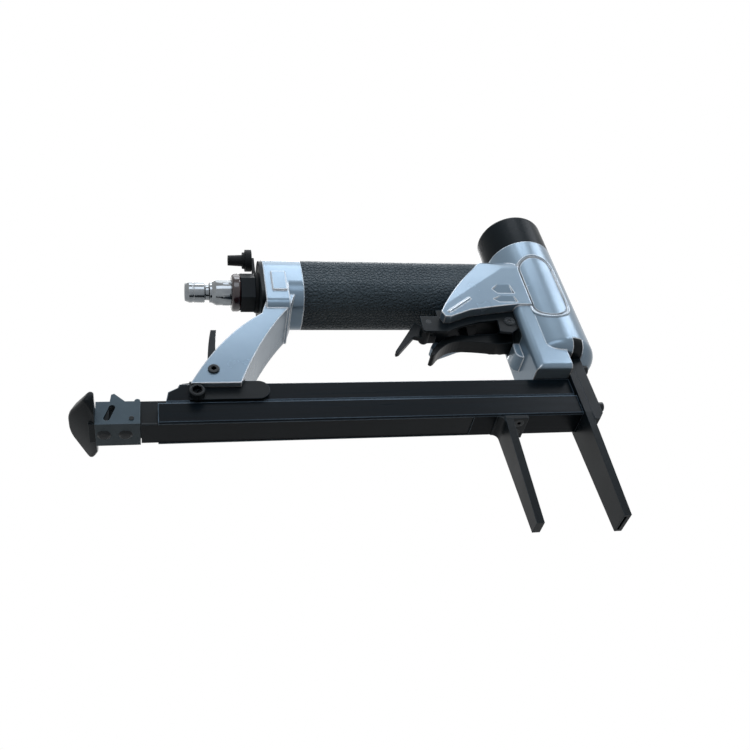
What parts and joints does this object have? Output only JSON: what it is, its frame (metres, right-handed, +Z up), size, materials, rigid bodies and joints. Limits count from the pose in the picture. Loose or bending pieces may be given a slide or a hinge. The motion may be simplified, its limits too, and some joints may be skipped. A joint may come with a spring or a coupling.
{
  "type": "pneumatic_stapler",
  "caption": "Pneumatic upholstery stapler with cast body, pebbled grip, long staple magazine with pull-out slide, long nose leg and rear foot.",
  "frame": {"origin": "staple outlet at the tip of the nose, on the driver's centre plane", "axes": "+X forward towards the nose, +Y to the tool's left, +Z up along the driver, away from the workpiece"},
  "size_m": [0.2879, 0.044, 0.2185],
  "materials": {
    "cast_aluminium": "satin cast",
    "black_cap": "satin",
    "seal_rubber": "matte",
    "bright_steel": "machined",
    "spring_steel": "drawn wire",
    "black_plastic": "matte",
    "black_steel": "blackened",
    "black_screw": "blackened",
    "black_enamel": "semi-gloss",
    "grey_steel": "blue-grey",
    "staple_wire": "galvanised",
    "grip_rubber": "pebbled",
    "red_rubber": "dark red",
    "chrome_plug": "polished",
    "brass": "turned"
  },
  "bodies": {
    "frame": {"main_housing": "cast_aluminium", "head_cap": "black_cap", "cap_gasket": "seal_rubber", "cylinder_liner": "bright_steel", "bumper": "seal_rubber", "head_valve_spring": "spring_steel", "nose_leg": "black_steel", "nose_cover": "black_steel", "nose_screws": "black_screw", "magazine_body": "black_enamel", "rear_foot": "black_steel", "foot_screws": "black_screw", "hanger_bracket": "black_steel", "bracket_screws": "black_screw", "arm_pin": "black_screw", "grip_sleeve": "grip_rubber", "end_plate": "black_plastic", "inlet_fitting": "black_steel", "collar_ring": "red_rubber", "air_plug": "chrome_plug", "trigger_bracket": "black_steel", "trigger_pin": "black_screw", "safety_pin": "black_screw", "valve_bushing": "brass", "valve_seals": "seal_rubber", "valve_spring": "spring_steel"},
    "driver": {"piston": "bright_steel", "piston_ring": "seal_rubber", "driver_blade": "bright_steel", "driver_pin": "bright_steel"},
    "head_valve": {"head_valve": "black_plastic"},
    "trigger": {"trigger": "black_steel"},
    "valve_stem": {"valve_stem": "brass"},
    "safety_lever": {"safety_lever": "black_steel"},
    "dust_plug": {"dust_plug": "seal_rubber", "dust_strap": "seal_rubber"},
    "release_lever": {"release_lever": "black_steel"},
    "slide": {"slide_rail": "black_enamel", "slide_block": "grey_steel", "slide_rivets": "black_screw", "latch_pin": "black_screw", "pull_plate": "black_plastic", "staple_strip": "staple_wire"},
    "pusher": {"pusher": "grey_steel", "feed_spring": "spring_steel"}
  },
  "joints": [
    {"name": "driver_slide", "type": "slide", "parent": "frame", "child": "driver", "axis": [0, 0, -1], "range_m": [0, 0.0828]},
    {"name": "head_valve_lift", "type": "slide", "parent": "frame", "child": "head_valve", "axis": [0, 0, 1], "range_m": [0, 0.003], "stiffness_N_per_m": 2000, "deforming": ["head_valve_spring"]},
    {"name": "trigger_pull", "type": "hinge", "parent": "frame", "child": "trigger", "pos_m": [-0.0266, 0, 0.131], "axis": [0, 1, 0], "range_deg": [0, 6], "stiffness_Nm_per_rad": 0.02},
    {"name": "valve_stem_push", "type": "slide", "parent": "frame", "child": "valve_stem", "axis": [0, 0, 1], "range_m": [0, 0.00299], "deforming": ["valve_spring"]},
    {"name": "safety_swing", "type": "hinge", "parent": "frame", "child": "safety_lever", "pos_m": [-0.0754, 0, 0.131], "axis": [0, 1, 0], "range_deg": [0, 20], "stiffness_Nm_per_rad": 0.5},
    {"name": "dust_plug_swing", "type": "hinge", "parent": "frame", "child": "dust_plug", "pos_m": [-0.169, 0, 0.1665], "axis": [1, 0, 0], "range_deg": [-90, 90]},
    {"name": "release_lever_tilt", "type": "hinge", "parent": "frame", "child": "release_lever", "pos_m": [-0.1968, 0, 0.0942], "axis": [0, 1, 0], "range_deg": [0, 15], "stiffness_Nm_per_rad": 1},
    {"name": "slide_pull", "type": "slide", "parent": "frame", "child": "slide", "axis": [-1, 0, 0], "range_m": [0, 0.12]},
    {"name": "pusher_travel", "type": "slide", "parent": "slide", "child": "pusher", "axis": [-1, 0, 0], "range_m": [0, 0.1], "stiffness_N_per_m": 20, "springref_m": -0.05}
  ],
  "couplings": [
    {"joint": "trigger_pull", "follows": "valve_stem_push", "rad_per_m": 34.965}
  ]
}
